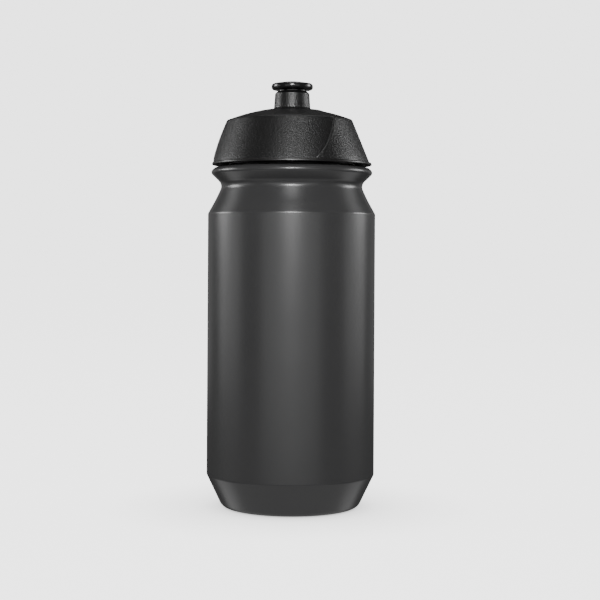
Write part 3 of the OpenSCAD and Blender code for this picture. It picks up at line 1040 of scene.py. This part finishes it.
# Distance of the boxes in metres from the point that they face
BOX_DISTANCE = 1.2
BOX_TARGET = Vector((0.0, 0.0, 0.10))
# Painted shadow where the bottle stands, taken out of the floor's glow: how far it reaches, and its darkest
# share of the floor's glow
CONTACT_REACH = 0.05
CONTACT_LEVEL = 0.25
# Tone of the floor's paper, and how far it lies under the bottle so that their faces don't meet
FLOOR_TONE = (0.3, 0.3, 0.3)
FLOOR_DROP = 0.0002
WHITE = (1.0, 1.0, 1.0, 1.0)
SENSOR_WIDTH = 36.0


def floor_finish(glow):
    """Pale paper, faintly clouded and lit through from below, with a shadow under the bottle painted into
    its glow.
    """
    finish = Finish("pale_floor")
    finish.tint(finish.noise(30.0, detail=3.0), FLOOR_TONE, darker=0.97, lighter=1.0)
    finish.rough(finish.noise(80.0), at_low=0.75, at_high=0.85)
    finish.shader.inputs["Emission Color"].default_value = WHITE
    # Painted shadow: the floor's glow dims where the bottle stands close by
    shadow = finish.nodes.new("ShaderNodeAmbientOcclusion")
    shadow.inputs["Distance"].default_value = CONTACT_REACH
    lit = finish.spread(shadow.outputs["AO"], CONTACT_LEVEL * glow, glow, start=0.0, stop=1.0)
    finish.links.new(lit, finish.shader.inputs["Emission Strength"])
    return finish.done()


def soft_box(name, azimuth, elevation, width, height, power):
    """A rectangular soft box that faces the bottle, unseen by the camera itself."""
    around, up = math.radians(azimuth), math.radians(elevation)
    out = Vector((math.sin(around) * math.cos(up), -math.cos(around) * math.cos(up), math.sin(up)))
    data = bpy.data.lights.new(name, "AREA")
    data.shape = "RECTANGLE"
    data.size = width
    data.size_y = height
    data.energy = power
    made = bpy.data.objects.new(name, data)
    made.location = BOX_TARGET + BOX_DISTANCE * out
    made.rotation_euler = (-out).to_track_quat("-Z", "Y").to_euler()
    made.visible_camera = False
    bpy.context.scene.collection.objects.link(made)


def studio_world(shade, glow):
    """White behind the bottle, and dim all round it."""
    world = bpy.data.worlds.new("studio")
    world.use_nodes = True
    nodes, links = world.node_tree.nodes, world.node_tree.links
    nodes["Background"].inputs["Color"].default_value = WHITE
    level = nodes.new("ShaderNodeMapRange")
    level.inputs["To Min"].default_value = shade
    level.inputs["To Max"].default_value = glow
    links.new(nodes.new("ShaderNodeLightPath").outputs["Is Camera Ray"], level.inputs["Value"])
    links.new(level.outputs["Result"], nodes["Background"].inputs["Strength"])
    return world


def make_floor(sizes):
    """The glowing floor, which only the camera sees."""
    half, ground = sizes.floor_size / 2, -FLOOR_DROP
    corners = [(-half, -half, ground), (half, -half, ground), (half, half, ground), (-half, half, ground)]
    floor = new_object("floor", corners, [(0, 1, 2, 3)])
    floor.data.materials.append(floor_finish(sizes.floor_glow))
    floor.visible_diffuse = False
    floor.visible_glossy = False
    floor.visible_shadow = False


def make_camera(sizes):
    """A camera with a level line of sight, framed by its lens shift."""
    lens = bpy.data.cameras.new("camera")
    lens.sensor_width = SENSOR_WIDTH
    lens.lens = sizes.lens
    lens.shift_x = sizes.shift_x
    lens.shift_y = sizes.shift_y
    camera = bpy.data.objects.new("camera", lens)
    camera.location = (0.0, -sizes.camera_distance, sizes.camera_height)
    camera.rotation_euler = (math.pi / 2, sizes.camera_roll, 0.0)
    bpy.context.scene.collection.objects.link(camera)
    bpy.context.scene.camera = camera


def make_studio():
    """The floor, the surroundings, the soft boxes and the camera."""
    sizes = bpy.context.scene.studio_sizes
    make_floor(sizes)
    bpy.context.scene.world = studio_world(sizes.shade, sizes.floor_glow)
    for box in SOFT_BOXES:
        soft_box(*box)
    make_camera(sizes)


# Operators and panel


class BOTTLE_OT_body(bpy.types.Operator):
    """Build the blow-moulded bottle and the thread on its neck"""

    bl_idname = "bottle.body"
    bl_label = "Bottle"

    def execute(self, context):
        make_bottle()
        thread = context.scene.thread_sizes
        radius = context.scene.bottle_sizes.neck_radius
        make_thread("neck_thread", "bottle", "bottle_plastic", radius, 1.0, thread.start_z)
        return {"FINISHED"}


class BOTTLE_OT_lid(bpy.types.Operator):
    """Build the lid with its swirled grips, spout and inner thread"""

    bl_idname = "bottle.lid"
    bl_label = "Lid"

    def execute(self, context):
        make_lid()
        thread = context.scene.thread_sizes
        radius = context.scene.lid_sizes.thread_root
        start_z = thread.start_z + thread.pitch / 2 + thread.play
        make_thread("lid_thread", "lid", "lid_plastic", radius, -1.0, start_z)
        return {"FINISHED"}


class BOTTLE_OT_seals(bpy.types.Operator):
    """Build the lid's gasket and the valve's sealing ring"""

    bl_idname = "bottle.seals"
    bl_label = "Seals"

    def execute(self, context):
        make_gasket()
        make_seal()
        return {"FINISHED"}


class BOTTLE_OT_valve(bpy.types.Operator):
    """Build the sealing stem, the sliding shaft and the bite tip"""

    bl_idname = "bottle.valve"
    bl_label = "Valve"

    def execute(self, context):
        make_stem()
        make_slider()
        make_tip()
        return {"FINISHED"}


class BOTTLE_OT_studio(bpy.types.Operator):
    """Set up the floor, the soft lights and the camera"""

    bl_idname = "bottle.studio"
    bl_label = "Studio"

    def execute(self, context):
        make_studio()
        return {"FINISHED"}


class BOTTLE_PT_sidebar(bpy.types.Panel):
    """Sizes, colours and build steps of the squeeze bottle"""

    bl_idname = "BOTTLE_PT_sidebar"
    bl_label = "Squeeze Bottle"
    bl_space_type = "VIEW_3D"
    bl_region_type = "UI"
    bl_category = "Bottle"

    def draw(self, context):
        for attribute, group in GROUPS.items():
            box = self.layout.box()
            box.label(text=group.__name__)
            for prop in group.__annotations__:
                box.prop(getattr(context.scene, attribute), prop)
        for step in STEPS:
            self.layout.operator(step.bl_idname)


GROUPS = {
    "bottle_sizes": BottleSizes,
    "lid_sizes": LidSizes,
    "thread_sizes": ThreadSizes,
    "valve_sizes": ValveSizes,
    "bottle_colours": FinishColours,
    "studio_sizes": StudioSizes,
}
STEPS = (BOTTLE_OT_body, BOTTLE_OT_lid, BOTTLE_OT_seals, BOTTLE_OT_valve, BOTTLE_OT_studio)
CLASSES = (*GROUPS.values(), *STEPS, BOTTLE_PT_sidebar)


def register():
    """Adds the classes, and the sizes to the scene."""
    for cls in CLASSES:
        bpy.utils.register_class(cls)
    for attribute, group in GROUPS.items():
        setattr(bpy.types.Scene, attribute, bpy.props.PointerProperty(type=group))


def unregister():
    """Takes the sizes and the classes away again."""
    for attribute in GROUPS:
        delattr(bpy.types.Scene, attribute)
    for cls in reversed(CLASSES):
        bpy.utils.unregister_class(cls)


def main():
    """Builds every piece and the studio."""
    register()
    bpy.ops.bottle.body()
    bpy.ops.bottle.lid()
    bpy.ops.bottle.seals()
    bpy.ops.bottle.valve()
    bpy.ops.bottle.studio()


if __name__ == "__main__":
    main()
